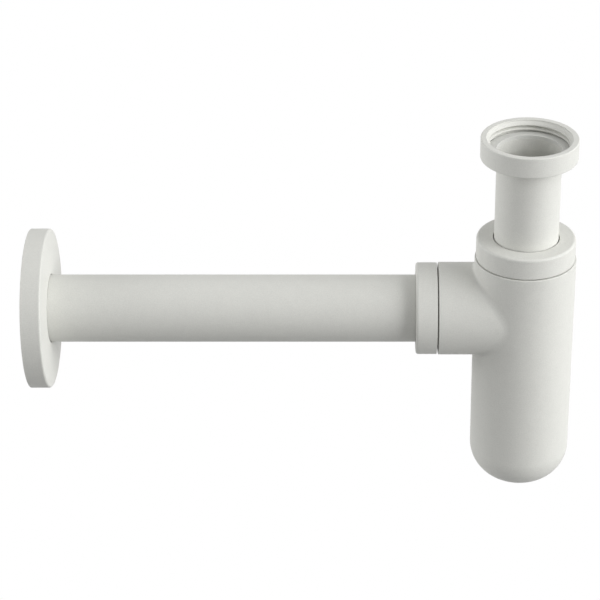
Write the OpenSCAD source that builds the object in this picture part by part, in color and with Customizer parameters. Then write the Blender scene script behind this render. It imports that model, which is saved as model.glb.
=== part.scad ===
// Bottle trap for a wash basin, in millimetres.
// The origin is the centre of the inlet washer's upper face, where the basin waste seats.
// +Z points up along the inlet, and the outlet runs along -X to the wall.

/* [Inlet union] */
// Wall of the round union nut outside its thread
union_wall = 3; // [2:0.1:6]
// Height of the union nut
union_h = 10.4; // [9.8:0.1:16]
// How far the union nut stands above the inlet washer
union_rise = 6.2; // [5:0.1:6.8]
// Depth of the union nut's thread, which is the 1 1/4 inch basin thread
thread_depth = 1.48; // [1.2:0.01:1.6]
// Depth of the straight counterbore above the thread
lead_in_h = 0.7; // [0.3:0.1:1.5]
// Height of the cone that leads from the counterbore into the thread
lead_cone_h = 1.5; // [0.8:0.1:2]
// Radius of the union nut's outer edges
union_edge = 0.5; // [0.1:0.1:1]
// Thickness of the inlet washer
inlet_washer_t = 1.6; // [1:0.1:2]
// Radius on the inlet washer's edges
washer_edge = 0.1; // [0.05:0.05:0.3]
// Radius on the upper edge of the inlet washer's bore
washer_lip = 0.9; // [0.3:0.1:1]

/* [Inlet tube] */
// Outside diameter of the inlet tube
tube_d = 32; // [28:0.1:33]
// Wall thickness of the inlet tube
tube_wall = 1; // [0.6:0.1:1.8]
// Width of the tube's flared collar, which carries the inlet washer
collar_w = 3.2; // [2.6:0.1:3.6]
// Inside radius of the bend where the tube turns out into its collar
collar_bend = 0.2; // [0.1:0.1:0.8]
// Radius in the corner under the collar
collar_fillet = 0.5; // [0.2:0.1:0.6]
// How deep the tube dips below the lowest point of the outlet's bore
water_seal = 55; // [50:1:64]

/* [Bottle] */
// Outside diameter of the bottle
bottle_d = 50.8; // [49:0.1:60]
// Wall thickness of the bottle and its branch
bottle_wall = 2.2; // [1.5:0.1:2.6]
// Height of the inlet washer above the outlet's axis
inlet_drop = 88.8; // [86:0.1:110]
// Height of the bottle's shoulder above the outlet's axis
shoulder_rise = 29.4; // [28.6:0.1:33]
// Depth of the bottle's lowest point below the outlet's axis
bottle_depth = 99.5; // [97:0.1:120]
// Radius of the bend between the bottle's side and its domed floor
knuckle_r = 19.2; // [12:0.1:20]
// Angle through which that bend turns before the flatter dome starts
knuckle_turn = 66; // [50:1:72]
// Thickness of the bottle's shoulder and of the branch's end wall
shoulder_t = 3; // [2:0.1:4]
// Radius on the edges of the bottle's shoulder and the branch's end
shoulder_edge = 0.3; // [0.1:0.1:0.5]

/* [Outlet branch] */
// Outside diameter of the branch
branch_d = 46.8; // [44:0.1:49]
// Distance from the bottle's axis to the branch's end face
branch_reach = 43.3; // [41:0.1:60]
// Fillet between branch and bottle, above and below the branch
fillet_r = 3; // [2:0.1:5]
// Fillet between branch and bottle, at the branch's two sides
fillet_side_r = 12; // [9:0.1:16]

/* [Compression nuts] */
// Outside diameter of the top nut
top_nut_d = 49.6; // [46:0.1:52]
// Height of the top nut
top_nut_h = 10.9; // [10:0.1:13]
// Outside diameter of the outlet nut
outlet_nut_d = 46.4; // [45.2:0.1:48]
// Length of the outlet nut
outlet_nut_h = 10.6; // [10:0.1:13]
// Radius on the outlet nut's edge towards the wall and on the top nut's upper edge
nut_edge = 1; // [0.3:0.1:1.2]
// Radius on each nut's edge beside the seam
nut_seam_edge = 0.3; // [0.1:0.1:0.6]
// Thickness of a nut's end plate
nut_floor = 2; // [1.5:0.1:2.5]
// Thickness of a nut's wall outside its thread
nut_wall = 1.5; // [1:0.1:2]
// Open seam between the top nut and the bottle
top_seam = 0.5; // [0.4:0.1:1]
// Open seam between the outlet nut and the branch
outlet_seam = 0.7; // [0.4:0.1:1.2]

/* [Seals] */
// Thickness of a slip washer
slip_t = 1; // [0.6:0.1:1.2]
// Thickness of a seal's head, between the slip washer and the neck
seal_head = 1.5; // [1:0.1:2]
// Depth of a seal's tapered foot, and of the cone that it seats in
seal_foot = 2.6; // [1.8:0.1:3]
// How far a slip washer reaches past the cone's rim
slip_lip = 0.6; // [0.2:0.1:0.7]
// How far a seal's head reaches past the cone's rim
seal_lip = 0.4; // [0.1:0.1:0.6]

/* [Outlet pipe] */
// Outside diameter of the outlet pipe
pipe_d = 34; // [30:0.1:34.4]
// Wall thickness of the outlet pipe
pipe_wall = 1; // [0.6:0.1:1.8]
// Distance from the bottle's axis to the wall
wall_reach = 248.5; // [150:0.5:320]
// Distance from the bottle's axis to the pipe's inner end
pipe_start = 27; // [26:0.5:34]
// How far the pipe's end stays short of the wall
pipe_short = 0.5; // [0.2:0.1:2]
// Chamfer on the pipe's end in the wall flange
pipe_chamfer = 0.4; // [0.1:0.1:0.5]

/* [Wall flange] */
// Outside diameter of the wall flange
flange_d = 80.4; // [60:0.2:120]
// Depth of the wall flange
flange_h = 10; // [7:0.1:20]
// Radius on the wall flange's front edge
flange_edge = 1; // [0.3:0.1:1.5]
// Wall thickness of the wall flange
flange_wall = 1.8; // [1.6:0.1:2.4]
// Thickness of the rubber ring that grips the pipe
ring_t = 3; // [2:0.1:4]
// Width of the rubber ring, from the pipe outwards
ring_w = 3.2; // [2:0.1:5]

/* [Clearances] */
// Gap between two pieces that turn or slide on each other
play = 0.05; // [0.03:0.01:0.08]
// Gap between the tube's collar and the crests of the union nut's thread
collar_gap = 0.275; // [0.2:0.025:0.6]
// Gap between a thread's crests and the plain wall that stands for its nut
thread_play = 0.1; // [0.05:0.01:0.2]
// Gap round a tube or pipe where it passes through a nut
nut_gap = 0.56; // [0.3:0.02:0.7]
// Gap round a tube or pipe where it passes through a neck
neck_gap = 0.6; // [0.3:0.05:0.8]
// Gap round the pipe where it passes through the wall flange
flange_gap = 0.35; // [0.2:0.05:0.5]

/* [Hidden] */
$fn = 128;

paint_color = [0.85, 0.84, 0.82];
rubber_color = [0.2, 0.2, 0.2];
washer_color = [0.72, 0.72, 0.71];
slip_color = [0.95, 0.95, 0.95];

// Inlet, from the tube outwards, with heights from the washer's upper face
tube_r = tube_d / 2;
tube_bore_r = tube_r - tube_wall;
collar_r = tube_r + collar_w;
thread_r = collar_r + collar_gap;
lead_r = thread_r + thread_depth + play;
union_r = lead_r + union_wall;
collar_top = -inlet_washer_t;
collar_bottom = collar_top - tube_wall;
union_top = union_rise;
union_bottom = union_top - union_h;
thread_top = union_top - lead_in_h - lead_cone_h;

// Heights from the washer's upper face down to the bottle
pipe_r = pipe_d / 2;
pipe_bore_r = pipe_r - pipe_wall;
outlet_z = -inlet_drop;
shoulder_z = outlet_z + shoulder_rise;
tube_end = outlet_z - pipe_bore_r - water_seal;

// Bottle, with its dome made of two arcs that meet without a kink
bottle_r = bottle_d / 2;
cavity_r = bottle_r - bottle_wall;
knuckle_x = bottle_r - knuckle_r;
crown_r = knuckle_r + knuckle_x / cos(knuckle_turn);
crown_fall = crown_r - (crown_r - knuckle_r) * sin(knuckle_turn);
knuckle_z = outlet_z - bottle_depth + crown_fall;
crown_z = knuckle_z + (crown_r - knuckle_r) * sin(knuckle_turn);

// Branch and the two compression joints, each measured along its own axis
branch_r = branch_d / 2;
top_joint = [tube_r, top_nut_d / 2, top_nut_h, top_seam];
outlet_joint = [pipe_r, outlet_nut_d / 2, outlet_nut_h, outlet_seam];

// Wall flange, measured from the bottle's axis
flange_r = flange_d / 2;
flange_front = wall_reach - flange_h;
ring_r = pipe_r + play + ring_w;
flange_hole_r = pipe_r + flange_gap;

// Points along an arc about [cx, cy], from angle a0 to angle a1
function arc(cx, cy, r, a0, a1, steps = 12) =
    [for (i = [0:steps]) let (a = a0 + (a1 - a0) * i / steps) [cx + r * cos(a), cy + r * sin(a)]];

// Outer side of a ring from height z0 to z1, with its two edges rounded by e0 and e1
function outer_side(r, z0, z1, e0, e1) = concat(
    arc(r - e0, z0 + e0, e0, -90, 0, 8),
    arc(r - e1, z1 - e1, e1, 0, 90, 8));

// Where the parts of a compression joint lie, from the shoulder outwards
function seat_r(joint) = joint[0] + neck_gap;
function neck_r(joint) = joint[1] - nut_wall - thread_play;
function nut_end(joint) = joint[3] + joint[2];
function slip_end(joint) = nut_end(joint) - nut_floor - play;
function seal_end(joint) = slip_end(joint) - slip_t - play;
function neck_end(joint) = seal_end(joint) - seal_head - play;
function cone_r(joint) = seat_r(joint) + seal_foot;

// A solid of revolution about the outlet's axis, with Z turned to point at the wall
module along_outlet() {
    translate([0, 0, outlet_z]) rotate([0, -90, 0]) children();
}

module revolve(points) {
    rotate_extrude() polygon(points);
}

// Round nut with an end plate, a plain wall for its thread, and its seam side at joint[3]
module compression_nut(joint) {
    z0 = joint[3];
    z1 = nut_end(joint);
    bore = neck_r(joint) + thread_play;
    hole = joint[0] + nut_gap;
    revolve(concat(
        [[bore, z0]],
        outer_side(joint[1], z0, z1, nut_seam_edge, nut_edge),
        [[hole, z1], [hole, z1 - nut_floor], [bore, z1 - nut_floor]]));
}

// Flat hard washer that lets the nut turn without dragging the seal
module slip_washer(joint) {
    z1 = slip_end(joint);
    translate([0, 0, z1 - slip_t]) difference() {
        cylinder(r = cone_r(joint) + slip_lip, h = slip_t);
        translate([0, 0, -1]) cylinder(r = joint[0] + nut_gap / 2, h = slip_t + 2);
    }
}

// Tapered seal, whose foot fills the neck's cone
module taper_seal(joint) {
    z1 = seal_end(joint);
    z0 = neck_end(joint);
    grip = joint[0] + play;
    foot_r = seat_r(joint) - play;
    revolve([
        [grip, z0 - seal_foot],
        [foot_r, z0 - seal_foot],
        [foot_r + seal_foot, z0],
        [cone_r(joint) + seal_lip, z0 + play],
        [cone_r(joint) + seal_lip, z1],
        [grip, z1]]);
}

// What a compression joint removes: the neck's through bore and its 45 degree seat
module neck_bore(joint, depth) {
    z1 = neck_end(joint);
    revolve([
        [0, -depth],
        [seat_r(joint), -depth],
        [seat_r(joint), z1 - seal_foot],
        [cone_r(joint), z1],
        [cone_r(joint), z1 + 1],
        [0, z1 + 1]]);
}

module union_nut() {
    hole = tube_r + nut_gap;
    floor_top = collar_bottom - play;
    color(paint_color) revolve(concat(
        [[hole, union_bottom]],
        outer_side(union_r, union_bottom, union_top, union_edge, union_edge),
        [
            [lead_r, union_top],
            [lead_r, union_top - lead_in_h],
            [thread_r, thread_top],
            [thread_r, play],
            [lead_r, play],
            [lead_r, floor_top],
            [hole, floor_top],
        ]));
}

// Flat washer whose bore is flush with the tube's
module inlet_washer() {
    color(washer_color) revolve(concat(
        arc(tube_bore_r + washer_edge, collar_top + washer_edge, washer_edge, 180, 270, 6),
        arc(collar_r - washer_edge, collar_top + washer_edge, washer_edge, 270, 360, 6),
        arc(collar_r - washer_edge, -washer_edge, washer_edge, 0, 90, 6),
        arc(tube_bore_r + washer_lip, -washer_lip, washer_lip, 90, 180, 8)));
}

// Plain tube whose top is turned out into a flat collar
module inlet_tube() {
    color(paint_color) revolve(concat(
        [[tube_bore_r, tube_end], [tube_r, tube_end]],
        arc(tube_r + collar_fillet, collar_bottom - collar_fillet, collar_fillet, 180, 90, 6),
        [[collar_r, collar_bottom], [collar_r, collar_top]],
        arc(tube_bore_r + collar_bend, collar_top - collar_bend, collar_bend, 90, 180, 8)));
}

module top_nut() {
    color(paint_color) translate([0, 0, shoulder_z]) compression_nut(top_joint);
}

module top_slip_washer() {
    color(slip_color) translate([0, 0, shoulder_z]) slip_washer(top_joint);
}

module top_seal() {
    color(rubber_color) translate([0, 0, shoulder_z]) taper_seal(top_joint);
}

// Bottle of revolution with a two-arc dome, grown by `grow` from its outer surface
function dome(grow) = concat(
    [[0, crown_z - crown_r - grow]],
    arc(0, crown_z, crown_r + grow, -90 + 1, -knuckle_turn, 8),
    arc(knuckle_x, knuckle_z, knuckle_r + grow, -knuckle_turn + 3, 0, 20));

// Ball that rolls along the corner of branch and bottle, seen round the branch at angle a
function ball_r(a) = fillet_r + (fillet_side_r - fillet_r) * pow(abs(cos(a)), 3);
function ball_center(a, r) =
    let (y = (branch_r + r) * cos(a), z = (branch_r + r) * sin(a))
    [-sqrt(pow(bottle_r + r, 2) - y * y), y, z];
function unit(v) = v / norm(v);

// One section of the fillet: a point sunk in the corner, then the ball's arc between
// its two contacts, whose ends are sunk below the branch and the bottle
fillet_sink = 0.06;
fillet_steps = 6;
function fillet_section(a) =
    let (
        r = ball_r(a),
        c = ball_center(a, r),
        to_branch = [0, -cos(a), -sin(a)],
        to_bottle = unit([-c[0], -c[1], 0]),
        turn = acos(to_branch * to_bottle),
        sunk = r + fillet_sink,
        yi = (branch_r - 1) * cos(a))
    concat(
        [[-sqrt(pow(bottle_r - 1, 2) - yi * yi), yi, (branch_r - 1) * sin(a)]],
        [c + sunk * to_branch],
        [for (i = [1:fillet_steps - 1])
            let (t = i / fillet_steps * turn)
            c + r * (sin(turn - t) * to_branch + sin(t) * to_bottle) / sin(turn)],
        [c + sunk * to_bottle]);

module branch_fillet() {
    n = 96;
    m = fillet_steps + 2;
    points = [for (i = [0:n - 1]) each fillet_section(360 * i / n)];
    faces = [for (i = [0:n - 1], j = [0:m - 1])
        let (p = i * m, q = ((i + 1) % n) * m, k = (j + 1) % m)
        each [[p + j, p + k, q + k], [p + j, q + k, q + j]]];
    translate([0, 0, outlet_z]) polyhedron(points, faces);
}

// One hollow body: bottle, branch, fillet and the two threaded necks
module bottle() {
    color(paint_color) difference() {
        union() {
            revolve(concat(
                dome(0),
                arc(bottle_r - shoulder_edge, shoulder_z - shoulder_edge, shoulder_edge, 0, 90, 6),
                [[0, shoulder_z]]));
            translate([0, 0, shoulder_z - 1])
                cylinder(r = neck_r(top_joint), h = neck_end(top_joint) + 1);
            along_outlet() revolve(concat(
                [[0, 0]],
                [[branch_r, 0]],
                arc(branch_r - shoulder_edge, branch_reach - shoulder_edge, shoulder_edge, 0, 90, 6),
                [
                    [neck_r(outlet_joint), branch_reach],
                    [neck_r(outlet_joint), branch_reach + neck_end(outlet_joint)],
                    [0, branch_reach + neck_end(outlet_joint)],
                ]));
            branch_fillet();
        }
        revolve(concat(
            dome(-bottle_wall),
            [[cavity_r, shoulder_z - shoulder_t], [0, shoulder_z - shoulder_t]]));
        along_outlet() cylinder(r = branch_r - bottle_wall, h = branch_reach - shoulder_t);
        translate([0, 0, shoulder_z]) neck_bore(top_joint, shoulder_t + 1);
        along_outlet() translate([0, 0, branch_reach]) neck_bore(outlet_joint, shoulder_t + 1);
    }
}

module outlet_nut() {
    color(paint_color) along_outlet() translate([0, 0, branch_reach]) compression_nut(outlet_joint);
}

module outlet_slip_washer() {
    color(slip_color) along_outlet() translate([0, 0, branch_reach]) slip_washer(outlet_joint);
}

module outlet_seal() {
    color(rubber_color) along_outlet() translate([0, 0, branch_reach]) taper_seal(outlet_joint);
}

module outlet_pipe() {
    pipe_end = wall_reach - pipe_short;
    color(paint_color) along_outlet() revolve([
        [pipe_bore_r, pipe_start],
        [pipe_r, pipe_start],
        [pipe_r, pipe_end - pipe_chamfer],
        [pipe_r - pipe_chamfer, pipe_end],
        [pipe_bore_r, pipe_end]]);
}

// Hollow rosette with a hub that holds the rubber ring against its face
module wall_flange() {
    hub_r = ring_r + play;
    inner_face = flange_front + flange_wall;
    hub_end = inner_face + ring_t + play;
    color(paint_color) along_outlet() revolve(concat(
        [[flange_hole_r, inner_face], [flange_hole_r, flange_front]],
        arc(flange_r - flange_edge, flange_front + flange_edge, flange_edge, -90, 0, 8),
        [
            [flange_r, wall_reach],
            [flange_r - flange_wall, wall_reach],
            [flange_r - flange_wall, inner_face],
            [hub_r + flange_wall, inner_face],
            [hub_r + flange_wall, hub_end],
            [hub_r, hub_end],
            [hub_r, inner_face],
        ]));
}

module flange_ring() {
    inner_face = flange_front + flange_wall;
    color(rubber_color) along_outlet() translate([0, 0, inner_face + play]) difference() {
        cylinder(r = ring_r, h = ring_t);
        translate([0, 0, -1]) cylinder(r = pipe_r + play, h = ring_t + 2);
    }
}

union_nut();
inlet_washer();
inlet_tube();
top_nut();
top_slip_washer();
top_seal();
bottle();
outlet_nut();
outlet_slip_washer();
outlet_seal();
outlet_pipe();
wall_flange();
flange_ring();
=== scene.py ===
import bpy
import numpy as np
from math import radians
from mathutils import Euler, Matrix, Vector


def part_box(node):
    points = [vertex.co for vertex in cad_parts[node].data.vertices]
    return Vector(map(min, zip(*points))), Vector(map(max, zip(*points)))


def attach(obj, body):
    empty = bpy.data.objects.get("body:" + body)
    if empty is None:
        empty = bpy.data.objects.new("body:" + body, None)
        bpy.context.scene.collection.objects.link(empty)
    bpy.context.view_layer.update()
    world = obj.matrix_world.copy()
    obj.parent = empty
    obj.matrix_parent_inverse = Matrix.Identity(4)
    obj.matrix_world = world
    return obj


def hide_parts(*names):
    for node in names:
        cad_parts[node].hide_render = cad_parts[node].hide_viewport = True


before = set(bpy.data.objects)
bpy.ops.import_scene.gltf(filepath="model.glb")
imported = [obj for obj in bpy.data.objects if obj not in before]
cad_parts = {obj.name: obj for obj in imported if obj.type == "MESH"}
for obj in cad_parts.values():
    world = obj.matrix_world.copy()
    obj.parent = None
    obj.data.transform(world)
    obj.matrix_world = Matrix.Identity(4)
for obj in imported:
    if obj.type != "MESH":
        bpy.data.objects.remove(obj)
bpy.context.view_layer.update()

mm = 0.001
turn = 2 * np.pi
print("frame loaded")


# Curves and surfaces. A profile is (points, normals) in the plane of radius and height,
# with the metal on its left, and a grid is (points, normals) in space, row by row.

# Points on a circle about (cx, cy): c + r * (cos a, sin a), a going evenly from a0 to a1
def arcProfile(cx, cy, r, a0, a1, steps=16):
    a = np.radians(np.linspace(a0, a1, steps + 1))
    out = np.stack([np.cos(a), np.sin(a)], -1)
    return np.array([cx, cy]) + r * out, out


# Rounds each corner of a polygon with an arc of its own radius that is tangent to both sides:
# the arc's centre lies at radius / sin(half angle) along the corner's bisector
def roundedProfile(corners, closed=True, steps=8):
    data = np.array(corners, float)
    here, radius = data[:, :2], data[:, 2]
    before, after = np.roll(here, 1, 0), np.roll(here, -1, 0)
    u = before - here
    v = after - here
    u /= np.linalg.norm(u, axis=1)[:, None]
    v /= np.linalg.norm(v, axis=1)[:, None]
    half = np.arccos(np.clip((u * v).sum(1), -1, 1)) / 2
    reach = radius / np.tan(half)
    bisector = (u + v) / np.linalg.norm(u + v, axis=1)[:, None]
    center = here + bisector * (radius / np.sin(half))[:, None]
    first = (here + u * reach[:, None] - center) / radius[:, None]
    last = (here + v * reach[:, None] - center) / radius[:, None]
    span = np.pi - 2 * half
    t = np.linspace(0, 1, steps + 1)[None, :, None]
    mix = np.sin((1 - t) * span[:, None, None]) * first[:, None] + np.sin(t * span[:, None, None]) * last[:, None]
    ray = mix / np.sin(span)[:, None, None]
    convex = np.sign(u[:, 1] * v[:, 0] - u[:, 0] * v[:, 1])
    points = center[:, None] + ray * radius[:, None, None]
    normals = ray * convex[:, None, None]
    if not closed:
        points, normals = points[1:-1], normals[1:-1]
    return points.reshape(-1, 2), normals.reshape(-1, 2)


# Straight profile from a to b, whose normal is the direction turned a quarter to the right
def straightProfile(a, b, steps=1):
    t = np.linspace(0, 1, steps + 1)[:, None]
    a, b = np.array(a, float), np.array(b, float)
    way = (b - a) / np.linalg.norm(b - a)
    points = a + t * (b - a)
    return points, np.tile([way[1], -way[0]], (steps + 1, 1))


def joinProfiles(*profiles):
    return np.concatenate([p for p, n in profiles]), np.concatenate([n for p, n in profiles])


# Sweeps a profile round the Z axis: (r cos a, r sin a, height)
def lathe(profile, angles=None, segments=192):
    points, normals = profile
    if angles is None:
        angles = np.linspace(0, turn, segments + 1)
    c, s = np.cos(angles)[None], np.sin(angles)[None]
    r, h = points[:, :1], points[:, 1:]
    nr, nh = normals[:, :1], normals[:, 1:]
    where = np.stack([r * c, r * s, h + 0 * c], -1)
    facing = np.stack([nr * c, nr * s, nh + 0 * c], -1)
    return where, facing


# Turns a grid built on Z so that its height points at the wall, along the outlet's axis
def alongOutlet(grid):
    where, facing = grid
    x, y, z = np.moveaxis(where, -1, 0)
    nx, ny, nz = np.moveaxis(facing, -1, 0)
    return np.stack([-z, y, x + outletZ], -1), np.stack([-nz, ny, nx], -1)


def flipGrid(grid):
    where, facing = grid
    return where[::-1], -facing[::-1]


# A thread's height between its root (0) and its crest (1): a triangle wave that climbs one
# pitch each turn, rounded by taking the arcsine of a slightly lowered sine
def threadWave(angle, height, pitch, phase):
    sharp = 0.93
    wave = np.sin(turn * (height / pitch - angle / turn + phase))
    return 0.5 + 0.5 * np.arcsin(sharp * wave) / np.arcsin(sharp)


# Normals of a grid from its own slopes: the cross product of its two difference vectors
def slopeNormals(where):
    along = np.gradient(where, axis=0)
    around = np.gradient(where, axis=1)
    around[:, 0] = around[:, -1] = where[:, 1] - where[:, -2]
    normals = np.cross(around, along)
    return normals / np.linalg.norm(normals, axis=-1)[..., None]


# Builds one mesh from grids: each cell becomes a quad, and points that coincide are joined,
# which closes seams and poles
def buildPiece(name, grids, body, nodes, material):
    where, facing, quads, count = [], [], [], 0
    for points, normals in grids:
        rows, columns = points.shape[:2]
        index = np.arange(rows * columns).reshape(rows, columns) + count
        cells = np.stack([index[:-1, :-1], index[:-1, 1:], index[1:, 1:], index[1:, :-1]], -1)
        quads.append(cells.reshape(-1, 4))
        where.append(points.reshape(-1, 3))
        facing.append(normals.reshape(-1, 3))
        count += rows * columns
    where, facing, quads = np.concatenate(where), np.concatenate(facing), np.concatenate(quads)
    keys, first, joined = np.unique(np.round(where / (0.2 * mm / 100)).astype(np.int64), axis=0,
                                    return_index=True, return_inverse=True)
    quads = joined.reshape(-1)[quads]
    where, facing = where[first], facing[first]
    same = quads == np.roll(quads, -1, axis=1)
    whole = quads[~same.any(1)]
    pinched = quads[same.sum(1) == 1]
    keep = ~same[same.sum(1) == 1]
    triangles = pinched[keep].reshape(-1, 3)
    mesh = bpy.data.meshes.new(name)
    mesh.from_pydata(where, [], whole.tolist() + triangles.tolist())
    mesh.validate()
    mesh.polygons.foreach_set("use_smooth", np.ones(len(mesh.polygons), bool))
    mesh.update()
    facing = facing / np.linalg.norm(facing, axis=1)[:, None]
    mesh.normals_split_custom_set_from_vertices(facing.tolist())
    mesh.materials.append(material)
    piece = bpy.data.objects.new(name, mesh)
    bpy.context.scene.collection.objects.link(piece)
    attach(piece, body)
    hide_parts(*nodes)
    print("built", name, len(mesh.polygons), "faces")
    return piece


# Node groups and materials

# Adds a node to a tree and sets its named values
def addNode(tree, kind, inputs=None, **settings):
    node = tree.nodes.new(kind)
    for key, value in settings.items():
        setattr(node, key, value)
    for key, value in (inputs or {}).items():
        node.inputs[key].default_value = value
    return node


# Fine stipple of a sprayed surface: two sizes of noise, as a height and as a small colour and
# roughness change
def makeStippleGroup():
    group = bpy.data.node_groups.new("sprayStipple", "ShaderNodeTree")
    for name, kind, value in (("Tint", "NodeSocketColor", (0.8, 0.8, 0.8, 1)), ("Mottle", "NodeSocketFloat", 0.03),
                              ("Grain Size", "NodeSocketFloat", 1800.0), ("Grain Depth", "NodeSocketFloat", 0.1),
                              ("Roughness", "NodeSocketFloat", 0.6)):
        socket = group.interface.new_socket(name, in_out="INPUT", socket_type=kind)
        socket.default_value = value
    for name, kind in (("Color", "NodeSocketColor"), ("Roughness", "NodeSocketFloat"), ("Normal", "NodeSocketVector")):
        group.interface.new_socket(name, in_out="OUTPUT", socket_type=kind)
    links = group.links
    source = addNode(group, "NodeGroupInput")
    result = addNode(group, "NodeGroupOutput")
    place = addNode(group, "ShaderNodeTexCoord")
    grain = addNode(group, "ShaderNodeTexNoise", {"Detail": 2.0, "Roughness": 0.6})
    links.new(place.outputs["Object"], grain.inputs["Vector"])
    links.new(source.outputs["Grain Size"], grain.inputs["Scale"])
    cloud = addNode(group, "ShaderNodeTexNoise", {"Scale": 220.0, "Detail": 3.0})
    links.new(place.outputs["Object"], cloud.inputs["Vector"])
    both = addNode(group, "ShaderNodeMath", operation="MULTIPLY_ADD")  # the grain four times, the cloud once
    both.inputs[1].default_value = 4.0
    links.new(grain.outputs["Fac"], both.inputs[0])
    links.new(cloud.outputs["Fac"], both.inputs[2])
    swing = addNode(group, "ShaderNodeMapRange", {"From Min": 1.5, "From Max": 3.5, "To Min": -1.0, "To Max": 1.0})
    links.new(both.outputs[0], swing.inputs["Value"])
    amount = addNode(group, "ShaderNodeMath", operation="MULTIPLY_ADD")
    amount.inputs[2].default_value = 1.0
    links.new(swing.outputs[0], amount.inputs[0])
    links.new(source.outputs["Mottle"], amount.inputs[1])
    tone = addNode(group, "ShaderNodeVectorMath", operation="SCALE")
    links.new(source.outputs["Tint"], tone.inputs[0])
    links.new(amount.outputs[0], tone.inputs["Scale"])
    links.new(tone.outputs[0], result.inputs["Color"])
    rough = addNode(group, "ShaderNodeMath", operation="MULTIPLY")
    links.new(source.outputs["Roughness"], rough.inputs[0])
    links.new(amount.outputs[0], rough.inputs[1])
    links.new(rough.outputs[0], result.inputs["Roughness"])
    bump = addNode(group, "ShaderNodeBump", {"Distance": 0.0001})
    links.new(source.outputs["Grain Depth"], bump.inputs["Strength"])
    links.new(grain.outputs["Fac"], bump.inputs["Height"])
    links.new(bump.outputs[0], result.inputs["Normal"])
    return group


# A material whose surface comes from the stipple group, with its own look
def makeMaterial(name, look):
    material = bpy.data.materials.new(name)
    material.use_nodes = True
    tree = material.node_tree
    shader = tree.nodes["Principled BSDF"]
    shader.inputs["Specular IOR Level"].default_value = look["specular"]
    stipple = addNode(tree, "ShaderNodeGroup", node_tree=stippleGroup)
    for socket in ("Tint", "Mottle", "Grain Size", "Grain Depth", "Roughness"):
        stipple.inputs[socket].default_value = look[socket]
    tree.links.new(stipple.outputs["Color"], shader.inputs["Base Color"])
    tree.links.new(stipple.outputs["Roughness"], shader.inputs["Roughness"])
    tree.links.new(stipple.outputs["Normal"], shader.inputs["Normal"])
    return material


stippleGroup = makeStippleGroup()

paintLook = {"Tint": (0.699, 0.701, 0.664, 1), "Mottle": 0.06, "Grain Size": 2200.0, "Grain Depth": 0.4,
             "Roughness": 0.55, "specular": 0.35}
paleRubberLook = {"Tint": (0.67, 0.672, 0.645, 1), "Mottle": 0.05, "Grain Size": 1500.0, "Grain Depth": 0.3,
                  "Roughness": 0.75, "specular": 0.25}
blackRubberLook = {"Tint": (0.02, 0.02, 0.02, 1), "Mottle": 0.15, "Grain Size": 1200.0, "Grain Depth": 0.4,
                   "Roughness": 0.7, "specular": 0.3}
nylonLook = {"Tint": (0.76, 0.76, 0.74, 1), "Mottle": 0.03, "Grain Size": 900.0, "Grain Depth": 0.15,
             "Roughness": 0.45, "specular": 0.5}

paint = makeMaterial("off white paint", paintLook)
paleRubber = makeMaterial("pale rubber", paleRubberLook)
blackRubber = makeMaterial("black rubber", blackRubberLook)
nylon = makeMaterial("white nylon", nylonLook)
print("materials made")


# Sizes that the pieces share, read from the frame where it has them
lowest, highest = {}, {}
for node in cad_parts:
    lowest[node], highest[node] = [np.array(corner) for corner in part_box(node)]
outletZ = (lowest["outlet_pipe"][2] + highest["outlet_pipe"][2]) / 2
tubeRadius = 16 * mm
pipeRadius = (highest["outlet_pipe"][2] - lowest["outlet_pipe"][2]) / 2
outletPitch = 2.309 * mm
hairline = 0.12 * mm  # radius on edges that look sharp


# Union nut: a round ring with a thread cut into its bore
unionNut = dict(
    edge=0.55 * mm,
    rim=0.25 * mm,
    mouth=21.0 * mm,  # radius of the counterbore and of the relief under the thread
    mouthDepth=0.7 * mm,
    coneDepth=1.5 * mm,  # height of the cone from the counterbore down to the crests
    crest=19.475 * mm,
    depth=1.8 * mm,
    reliefTop=0.2 * mm,
    hole=16.56 * mm,
    floorTop=-2.65 * mm,
    crestAtBack=3.9 * mm,  # height of the first crest on the side away from the camera
    grooveSharpness=1.7,  # above 1 the crests are wide and the grooves narrow
    blend=0.15 * mm,
)


# The larger of two lengths with a rounded corner: half of a + b + sqrt((a - b)^2 + blend^2)
def softMaximum(a, b, blend):
    return (a + b + np.sqrt((a - b) ** 2 + blend ** 2)) / 2


# The bore's radius at each angle and height: the largest of the cone under the counterbore, the
# thread's wave, which fades out in that cone, and the relief, which opens at a thread's slope
def threadedBore(s, angles, heights, top):
    coneTop = top - s["mouthDepth"]
    coneEnd = coneTop - s["coneDepth"]
    cone = s["crest"] + (s["mouth"] - s["crest"]) * (heights - coneEnd) / s["coneDepth"]
    wave = threadWave(angles - turn / 4, heights - s["crestAtBack"], outletPitch, 0.25)
    fade = np.clip(1 - (heights - coneEnd) / (0.4 * s["coneDepth"]), 0, 1)
    thread = s["crest"] + s["depth"] * (1 - wave) ** s["grooveSharpness"] * fade
    relief = s["mouth"] - (heights - s["reliefTop"]) / np.tan(radians(27.5))
    opening = np.minimum(np.maximum(cone, relief), s["mouth"])
    return softMaximum(thread, opening, s["blend"])


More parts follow.
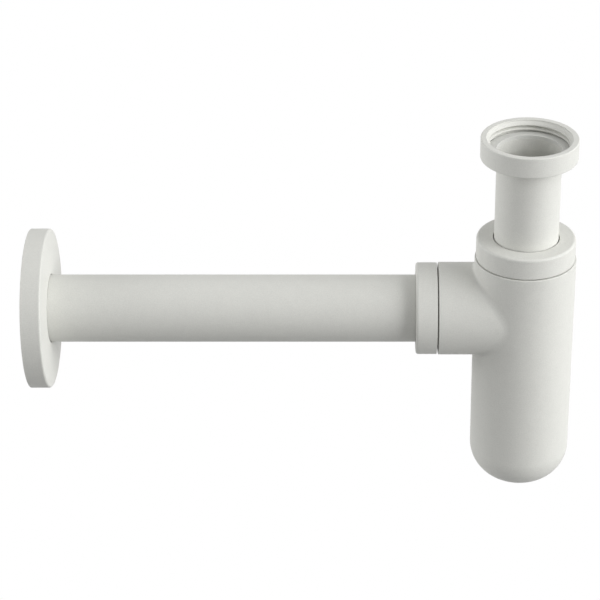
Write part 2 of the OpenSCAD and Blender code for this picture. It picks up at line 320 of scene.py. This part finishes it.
def makeUnionNut():
    s = unionNut
    outer = highest["union_nut"][0]
    top, bottom = highest["union_nut"][2], lowest["union_nut"][2]
    body = roundedProfile([
        (s["mouth"], s["floorTop"], hairline),
        (s["hole"], s["floorTop"], hairline),
        (s["hole"], bottom, hairline),
        (outer, bottom, s["edge"]),
        (outer, top, s["edge"]),
        (s["mouth"], top, s["rim"]),
    ])
    shell = lathe(body, segments=256)
    # the bore runs from the rim's last point down to the floor's first
    start, end = body[0][-1], body[0][0]
    heights = np.linspace(start[1], end[1], 170)[:, None]
    angles = np.linspace(0, turn, 257)[None]
    radius = threadedBore(s, angles, heights, top)
    radius[0] = start[0]
    radius[-1] = end[0]
    bore = np.stack([radius * np.cos(angles), radius * np.sin(angles), heights + 0 * angles], -1)
    normals = slopeNormals(bore)
    return buildPiece("unionNut", [shell, (bore, normals)], "union", ["union_nut"], paint)


# Inlet tube: a thin wall whose top opens a little and turns out into a flat collar
inletTube = dict(wall=1.0 * mm, mouth=15.7 * mm, flareDepth=6.0 * mm, flareBend=12.0 * mm, bend=0.06 * mm,
                 fillet=0.5 * mm)


def makeInletTube():
    s = inletTube
    collar = highest["inlet_tube"][0]
    top, bottom = highest["inlet_tube"][2], lowest["inlet_tube"][2]
    bore = tubeRadius - s["wall"]
    wall = roundedProfile([
        (bore, bottom, hairline),
        (tubeRadius, bottom, hairline),
        (tubeRadius, top - s["wall"], s["fillet"]),
        (collar, top - s["wall"], hairline),
        (collar, top, hairline),
        (s["mouth"], top, s["bend"]),
        (bore, top - s["flareDepth"], s["flareBend"]),
    ])
    return buildPiece("inletTube", [closedLathe(wall)], "inlet", ["inlet_tube"], paint)


# A lathe whose profile is a loop: its first row is added again at its end
def closedLathe(profile, segments=192):
    points, normals = profile
    loop = np.concatenate([points, points[:1]]), np.concatenate([normals, normals[:1]])
    return lathe(loop, segments=segments)


# Inlet washer: a flat ring that reaches into the relief under the nut's thread. Its bore narrows
# from its mouth until it is flush with the tube's.
inletWasher = dict(outer=20.6 * mm, mouth=16.0 * mm, lip=0.15 * mm, seam=0.05 * mm, edge=0.2 * mm)


def makeInletWasher():
    s = inletWasher
    outer = s["outer"]
    top, bottom = highest["inlet_washer"][2], lowest["inlet_washer"][2]
    ring = roundedProfile([
        (inletTube["mouth"], bottom, s["seam"]),
        (outer, bottom, s["edge"]),
        (outer, top, s["edge"]),
        (s["mouth"], top, s["lip"]),
    ])
    return buildPiece("inletWasher", [closedLathe(ring)], "inlet", ["inlet_washer"], paleRubber)


# Compression nut: end plate, hole, outer edges of two radii, and a fine thread in its skirt
nutShape = dict(topEdge=1.3 * mm, outletEdge=1.3 * mm, seamEdge=0.3 * mm, floor=2.0 * mm, wall=1.5 * mm,
                holeGap=0.56 * mm, threadDepth=0.6 * mm)


def compressionNut(outer, passing, start, end, edge):
    s = nutShape
    bore = outer - s["wall"]
    hole = passing + s["holeGap"]
    body = roundedProfile([
        (bore, end - s["floor"], hairline),
        (bore, start, hairline * 2),
        (outer, start, s["seamEdge"]),
        (outer, end, edge),
        (hole, end, hairline * 1.5),
        (hole, end - s["floor"], hairline),
    ])
    points, normals = body
    rows = points[:9], normals[:9]
    rest = points[9:], normals[9:]
    skirtStart, skirtEnd = points[8], points[9]
    heights = np.linspace(skirtStart[1], skirtEnd[1], 70)[:, None]
    angles = np.linspace(0, turn, 193)[None]
    wave = threadWave(angles, heights, outletPitch, 0.0)
    fade = np.clip((heights - start) / (1.2 * mm), 0, 1) * np.clip((end - s["floor"] - heights) / (1.2 * mm), 0, 1)
    radius = bore + s["threadDepth"] * (1 - wave) * fade
    radius[0], radius[-1] = skirtStart[0], skirtEnd[0]
    skirt = np.stack([radius * np.cos(angles), radius * np.sin(angles), heights + 0 * angles], -1)
    ring = np.concatenate([rest[0], rows[0]]), np.concatenate([rest[1], rows[1]])
    return [lathe(ring), (skirt, slopeNormals(skirt))]


def makeTopNut():
    grids = compressionNut(highest["top_nut"][0], tubeRadius, lowest["top_nut"][2], highest["top_nut"][2],
                           nutShape["topEdge"])
    return buildPiece("topNut", grids, "top_collar", ["top_nut"], paint)


def makeOutletNut():
    radius = highest["outlet_nut"][1]
    grids = compressionNut(radius, pipeRadius, -highest["outlet_nut"][0], -lowest["outlet_nut"][0],
                           nutShape["outletEdge"])
    return buildPiece("outletNut", [alongOutlet(g) for g in grids], "outlet_collar", ["outlet_nut"], paint)


# Slip washers and tapered seals
sealShape = dict(grip=0.05 * mm, footGap=0.6 * mm, foot=2.6 * mm, head=1.5 * mm, lip=0.4 * mm, edge=0.15 * mm)


def slipWasher(outer, passing, start, end):
    bore = passing + nutShape["holeGap"] / 2
    edge = sealShape["edge"]
    return closedLathe(roundedProfile([(bore, start, edge), (outer, start, edge), (outer, end, edge), (bore, end, edge)]))


def taperSeal(outer, passing, start, end):
    s = sealShape
    bore = passing + s["grip"]
    foot = passing + s["footGap"] - s["grip"]
    return closedLathe(roundedProfile([
        (bore, start, s["edge"]),
        (foot, start, s["edge"] / 2),
        (foot + s["foot"], start + s["foot"], s["edge"]),
        (outer, start + s["foot"] + s["grip"], s["edge"]),
        (outer, end, s["edge"]),
        (bore, end, s["edge"]),
    ]))


def makeSeals():
    for side, body, slipBody, passing in (("top", "sliding_seal", "top_slip", tubeRadius),
                                          ("outlet", "turning_seal", "outlet_slip", pipeRadius)):
        for kind, make, rides, material, slot in ((side + "_slip_washer", slipWasher, slipBody, nylon, "slip_washer"),
                                                  (side + "_seal", taperSeal, body, blackRubber, "seal")):
            outer = highest[kind][1]
            if side == "top":
                grid = make(outer, passing, lowest[kind][2], highest[kind][2])
            else:
                grid = alongOutlet(make(outer, passing, -highest[kind][0], -lowest[kind][0]))
            buildPiece(kind.replace("_", " ").title().replace(" ", ""), [grid], rides, [kind], material)


# Bottle: an outer and an inner skin. Each skin is a round bottle with a round branch, joined by
# a ball that rolls along their corner.
bottleShape = dict(
    wall=2.2 * mm, knuckle=19.2 * mm, knuckleTurn=66.0, fillet=1.6 * mm, sideFillet=12.0 * mm, filletSpread=6,
    innerFillet=0.8 * mm, shoulderEdge=0.35 * mm, neckEdge=0.3 * mm, shoulder=3.0 * mm,
    threadDepth=1.1 * mm, aroundTop=144, downSide=22, rows=16, cornerSteps=4,
    threadRows=50)


# The ball's centre lies on both offset cylinders, seen round the branch at angle a:
# y = (branch + r) cos a, z = (branch + r) sin a, x = -sqrt((bottle + r)^2 - y^2)
def rollingBall(bottleR, branchR, fillet, sideFillet, a):
    r = fillet + (sideFillet - fillet) * np.abs(np.cos(a)) ** bottleShape["filletSpread"]
    y = (branchR + r) * np.cos(a)
    z = (branchR + r) * np.sin(a)
    center = np.stack([-np.sqrt((bottleR + r) ** 2 - y ** 2), y, z], -1)
    toBranch = np.stack([0 * a, -np.cos(a), -np.sin(a)], -1)
    toBottle = np.stack([-center[:, 0], -center[:, 1], 0 * a], -1) / (bottleR + r)[:, None]
    return center, r, toBranch, toBottle


# The skin round the branch, as three grids whose columns go round the branch: the branch's tube
# out to a distance, the fillet's arc, and the bottle's wall from the fillet to the edge of a
# rectangle on the unrolled bottle, from half a turn left to half a turn right
def branchSkin(bottleR, branchR, fillet, sideFillet, tubeEnd, above, below):
    s = bottleShape
    around, side = s["aroundTop"], s["downSide"]
    half = np.pi * bottleR
    edge = np.linspace(-1, 1, side + 1)[:-1]
    across = np.linspace(-1, 1, around + 1)[:-1]
    up = (above + below) / 2 * edge + (above - below) / 2
    rectU = np.concatenate([half + 0 * edge, -across * half, -half + 0 * edge, across * half, [half]])
    rectZ = np.concatenate([up, above + 0 * across, above - (up - up[0]), -below + 0 * across, [up[0]]])
    sideAngle = radians(18)
    a = np.concatenate([sideAngle * edge, sideAngle + (across + 1) / 2 * (np.pi - 2 * sideAngle),
                        np.pi + sideAngle * edge, np.pi + sideAngle + (across + 1) / 2 * (np.pi - 2 * sideAngle),
                        [turn - sideAngle]])
    center, r, toBranch, toBottle = rollingBall(bottleR, branchR, fillet, sideFillet, a)
    # fillet: points on the ball between its two contacts
    span = np.arccos((toBranch * toBottle).sum(1))
    t = np.linspace(0, 1, 13)[:, None, None]
    ray = (np.sin((1 - t) * span[None, :, None]) * toBranch + np.sin(t * span[None, :, None]) * toBottle) \
        / np.sin(span)[None, :, None]
    fillet3 = center + r[None, :, None] * ray
    # tube: straight lines from its far end to the ball's contact
    onBranch = fillet3[0]
    far = np.stack([-tubeEnd + 0 * a, branchR * np.cos(a), branchR * np.sin(a)], -1)
    k = np.linspace(0, 1, 9)[:, None, None]
    tube3 = far + k * (onBranch - far)
    tubeN = np.broadcast_to(-toBranch, tube3.shape)
    # wall: straight lines on the unrolled bottle
    onBottle = fillet3[-1]
    startU = bottleR * np.arctan2(onBottle[:, 1], -onBottle[:, 0])
    startZ = onBottle[:, 2]
    k = np.linspace(0, 1, s["rows"] + 1)[:, None] ** 1.3
    wallU = startU + k * (rectU - startU)
    wallZ = startZ + k * (rectZ - startZ)
    wallA = wallU / bottleR
    wall3 = np.stack([-bottleR * np.cos(wallA), bottleR * np.sin(wallA), wallZ], -1)
    wallN = np.stack([-np.cos(wallA), np.sin(wallA), 0 * wallA], -1)
    lift = np.array([0, 0, outletZ])
    grids = [(tube3 + lift, tubeN), (fillet3 + lift, -ray), (wall3 + lift, wallN)]
    return grids, a


def makeBottle():
    s = bottleShape
    bottleR = highest["bottle"][0]
    bottomZ = lowest["bottle"][2]
    topZ, farX = highest["bottle"][2], -lowest["bottle"][0]
    innerR = bottleR - s["wall"]
    branchR = 23.4 * mm
    innerBranchR = branchR - s["wall"]
    shoulderZ = lowest["top_nut"][2] - 0.5 * mm
    branchEnd = -highest["outlet_nut"][0] - 0.7 * mm

    # outer and inner walls round the branch
    above = shoulderZ - s["shoulderEdge"] - outletZ
    below = 40 * mm
    outerSkin, a = branchSkin(bottleR, branchR, s["fillet"], s["sideFillet"], branchEnd - s["shoulderEdge"], above, below)
    ceiling = shoulderZ - s["shoulder"] - outletZ
    innerSkin, a = branchSkin(innerR, innerBranchR, s["innerFillet"], s["innerFillet"] * 4,
                              branchEnd - s["shoulder"], ceiling, below)

    # domed floors: an arc for the bend, then a flatter arc that meets it on one normal
    kneeX = bottleR - s["knuckle"]
    lean = s["knuckleTurn"]
    crown = s["knuckle"] + kneeX / np.cos(radians(lean))
    crownZ = bottomZ + crown
    kneeZ = crownZ - (crown - s["knuckle"]) * np.sin(radians(lean))

    def floorProfile(wall):
        dome = arcProfile(0, crownZ, crown - wall, -90, -lean, 16)
        dome[0][0, 0] = 0
        knee = arcProfile(kneeX, kneeZ, s["knuckle"] - wall, -lean, 0, 28)
        side = straightProfile((bottleR - wall, kneeZ), (bottleR - wall, outletZ - below), 6)
        return joinProfiles(dome, knee, side)

    ring = np.linspace(0, turn, s["aroundTop"] + 1)
    outerFloor = lathe(floorProfile(0), ring)
    innerFloor = flipGrid(lathe(floorProfile(s["wall"]), ring))

    def endGrids(outer, neck, start, tip, passing, inner, angles, startEdge):
        # shoulder, threaded neck, cone seat, bore and the wall's inner face
        seat = passing + sealShape["footGap"]
        cone = seat + sealShape["foot"]
        root = neck - s["threadDepth"]
        outside = roundedProfile([
            (outer, start - 5 * mm, hairline), (outer, start, startEdge), (root, start, s["neckEdge"]),
            (root, start + 3 * mm, hairline)], closed=False, steps=s["cornerSteps"])
        inside = roundedProfile([
            (root, tip - 2 * mm, hairline), (root, tip, s["neckEdge"]), (cone, tip, hairline),
            (seat, tip - sealShape["foot"], hairline), (seat, start - s["shoulder"], hairline),
            (inner, start - s["shoulder"], hairline), (inner, start - 6 * mm, hairline)], closed=False,
            steps=s["cornerSteps"])
        ending = np.array([[inner, start - s["shoulder"]]]), np.array([[0.0, -1.0]])
        lastCorner = s["cornerSteps"] + 1
        inside = inside[0][:-lastCorner], inside[1][:-lastCorner]
        inside = joinProfiles(inside, ending)
        low, high = outside[0][-1], inside[0][0]
        heights = np.linspace(low[1], high[1], s["threadRows"])[:, None]
        wave = threadWave(angles[None], heights, outletPitch, 0.3)
        fade = np.clip((heights - low[1]) / (0.8 * mm), 0, 1) * np.clip((high[1] - heights) / (0.6 * mm), 0, 1)
        radius = root + s["threadDepth"] * wave * fade
        radius = np.minimum(radius, neck)
        thread = np.stack([radius * np.cos(angles), radius * np.sin(angles), heights + 0 * angles], -1)
        return [lathe(outside, angles), (thread, slopeNormals(thread)), lathe(inside, angles)]

    neckTop = highest["top_nut"][0] - nutShape["wall"] - 0.1 * mm
    neckSide = highest["outlet_nut"][1] - nutShape["wall"] - 0.1 * mm
    topEnd = endGrids(bottleR, neckTop, shoulderZ, topZ, tubeRadius, innerR, ring, s["shoulderEdge"])
    # the branch's columns start at its own angles, turned so that they match those round the outlet
    sideEnd = [alongOutlet(g) for g in endGrids(branchR, neckSide, branchEnd, farX, pipeRadius, innerBranchR,
                                                np.pi / 2 - a[::-1], s["shoulderEdge"])]
    grids = outerSkin + [flipGrid(g) for g in innerSkin] + [outerFloor, innerFloor] + topEnd + sideEnd
    return buildPiece("trapBottle", grids, "trap_body", ["bottle"], paint)


# Outlet pipe: a thin tube with small chamfers rounded over
pipeShape = dict(wall=1.0 * mm, edge=0.3 * mm)


def makeOutletPipe():
    s = pipeShape
    start, end = -highest["outlet_pipe"][0], -lowest["outlet_pipe"][0]
    bore = pipeRadius - s["wall"]
    wall = roundedProfile([(bore, start, hairline), (pipeRadius, start, s["edge"]),
                           (pipeRadius, end, s["edge"]), (bore, end, hairline)])
    return buildPiece("outletPipe", [alongOutlet(closedLathe(wall))], "outlet", ["outlet_pipe"], paint)


# Wall flange: a hollow cap with a rounded front edge and a hub behind its face
flangeShape = dict(edge=1.0 * mm, wall=1.8 * mm, holeGap=0.35 * mm, hub=20.3 * mm, hubDepth=3.05 * mm)


def makeWallFlange():
    s = flangeShape
    outer = highest["wall_flange"][1]
    back, front = -lowest["wall_flange"][0], -highest["wall_flange"][0]
    hole = pipeRadius + s["holeGap"]
    face = front + s["wall"]
    cap = roundedProfile([
        (hole, face, hairline), (hole, front, 0.2 * mm), (outer, front, s["edge"]), (outer, back, 0.2 * mm),
        (outer - s["wall"], back, 0.2 * mm), (outer - s["wall"], face, 0.8 * mm),
        (s["hub"] + s["wall"], face, 0.5 * mm), (s["hub"] + s["wall"], face + s["hubDepth"], 0.2 * mm),
        (s["hub"], face + s["hubDepth"], 0.2 * mm), (s["hub"], face, hairline)])
    return buildPiece("wallFlange", [alongOutlet(closedLathe(cap, 256))], "flange", ["wall_flange"], paint)


def makeFlangeRing():
    start, end = -highest["flange_ring"][0], -lowest["flange_ring"][0]
    outer = highest["flange_ring"][1]
    bore = pipeRadius + sealShape["grip"]
    edge = 0.4 * mm
    ring = roundedProfile([(bore, start, edge), (outer, start, edge), (outer, end, edge), (bore, end, edge)])
    return buildPiece("flangeRing", [alongOutlet(closedLathe(ring))], "flange_grip", ["flange_ring"], blackRubber)


makeUnionNut()
makeInletTube()
makeInletWasher()
makeTopNut()
makeOutletNut()
makeSeals()
makeBottle()
makeOutletPipe()
makeWallFlange()
makeFlangeRing()


# Camera, floor and lamps
cameraView = dict(place=(-76.8 * mm, -976.65 * mm, 467.26 * mm), down=29.446, focalPixels=2223.33,
                  centerX=371.62, framePixels=600, sensor=36.0)


def makeCamera():
    s = cameraView
    lens = bpy.data.cameras.new("camera")
    lens.sensor_width = s["sensor"]
    lens.lens = s["focalPixels"] / s["framePixels"] * s["sensor"]
    lens.shift_x = 0.5 - s["centerX"] / s["framePixels"]
    lens.clip_start = 0.01
    lens.clip_end = 50
    camera = bpy.data.objects.new("camera", lens)
    camera.location = s["place"]
    camera.rotation_euler = Euler((radians(90 - s["down"]), 0, 0))
    bpy.context.scene.collection.objects.link(camera)
    bpy.context.scene.camera = camera


# One where a ray comes from the camera, or carries a reflection or what glass lets through
def backgroundRay(tree):
    path = addNode(tree, "ShaderNodeLightPath")
    total = path.outputs["Is Camera Ray"]
    for name in ("Is Glossy Ray", "Is Transmission Ray"):
        larger = addNode(tree, "ShaderNodeMath", operation="MAXIMUM")
        tree.links.new(total, larger.inputs[0])
        tree.links.new(path.outputs[name], larger.inputs[1])
        total = larger.outputs[0]
    return total


# A large plane below the part: white as a background, and grey where it throws light back
floorLook = dict(reach=6.0, drop=0.45, grey=(0.3, 0.3, 0.3, 1), roughness=0.9)


def makeFloor():
    s = floorLook
    mesh = bpy.data.meshes.new("floor")
    reach, level = s["reach"], lowest["bottle"][2] - s["drop"]
    mesh.from_pydata([(-reach, -reach, level), (reach, -reach, level), (reach, reach, level), (-reach, reach, level)],
                     [], [(0, 1, 2, 3)])
    floor = bpy.data.objects.new("floor", mesh)
    bpy.context.scene.collection.objects.link(floor)
    material = bpy.data.materials.new("floor")
    material.use_nodes = True
    tree = material.node_tree
    shader = tree.nodes["Principled BSDF"]
    shader.inputs["Base Color"].default_value = s["grey"]
    shader.inputs["Roughness"].default_value = s["roughness"]
    shader.inputs["Specular IOR Level"].default_value = 0.0
    glow = addNode(tree, "ShaderNodeEmission", {"Color": (1, 1, 1, 1), "Strength": 1.0})
    mix = addNode(tree, "ShaderNodeMixShader")
    tree.links.new(backgroundRay(tree), mix.inputs[0])
    tree.links.new(shader.outputs[0], mix.inputs[1])
    tree.links.new(glow.outputs[0], mix.inputs[2])
    tree.links.new(mix.outputs[0], tree.nodes["Material Output"].inputs["Surface"])
    mesh.materials.append(material)


# Each lamp is a square that faces the part from a direction: azimuth 0 is the camera's side,
# and 90 the inlet's
lampRig = {
    "keyLow": dict(azimuth=65, elevation=20, distance=2.6, size=1.8, power=56.0),
    "keyHigh": dict(azimuth=90, elevation=45, distance=2.6, size=1.8, power=15.5),
    "fillLeft": dict(azimuth=-95, elevation=10, distance=2.6, size=1.8, power=35.0),
}
ambient = dict(color=(1, 1, 1, 1), strength=0.44)


def makeLamps():
    target = Vector((-0.06, 0, -0.09))
    for name, s in lampRig.items():
        light = bpy.data.lights.new(name, "AREA")
        light.size = s["size"]
        light.energy = s["power"]
        lamp = bpy.data.objects.new(name, light)
        a, e = radians(s["azimuth"]), radians(s["elevation"])
        away = Vector((np.sin(a) * np.cos(e), -np.cos(a) * np.cos(e), np.sin(e)))
        lamp.location = target + away * s["distance"]
        lamp.rotation_euler = away.to_track_quat("Z", "Y").to_euler()
        bpy.context.scene.collection.objects.link(lamp)


def makeWorld():
    world = bpy.data.worlds.new("world")
    bpy.context.scene.world = world
    world.use_nodes = True
    tree = world.node_tree
    light = tree.nodes["Background"]
    light.inputs["Color"].default_value = ambient["color"]
    light.inputs["Strength"].default_value = ambient["strength"]
    seen = addNode(tree, "ShaderNodeBackground", {"Color": (1, 1, 1, 1), "Strength": 1.0})
    mix = addNode(tree, "ShaderNodeMixShader")
    tree.links.new(backgroundRay(tree), mix.inputs[0])
    tree.links.new(light.outputs[0], mix.inputs[1])
    tree.links.new(seen.outputs[0], mix.inputs[2])
    tree.links.new(mix.outputs[0], tree.nodes["World Output"].inputs["Surface"])


makeCamera()
makeFloor()
makeLamps()
makeWorld()
bpy.context.scene.view_settings.view_transform = "Standard"
print("camera, floor and lamps placed")
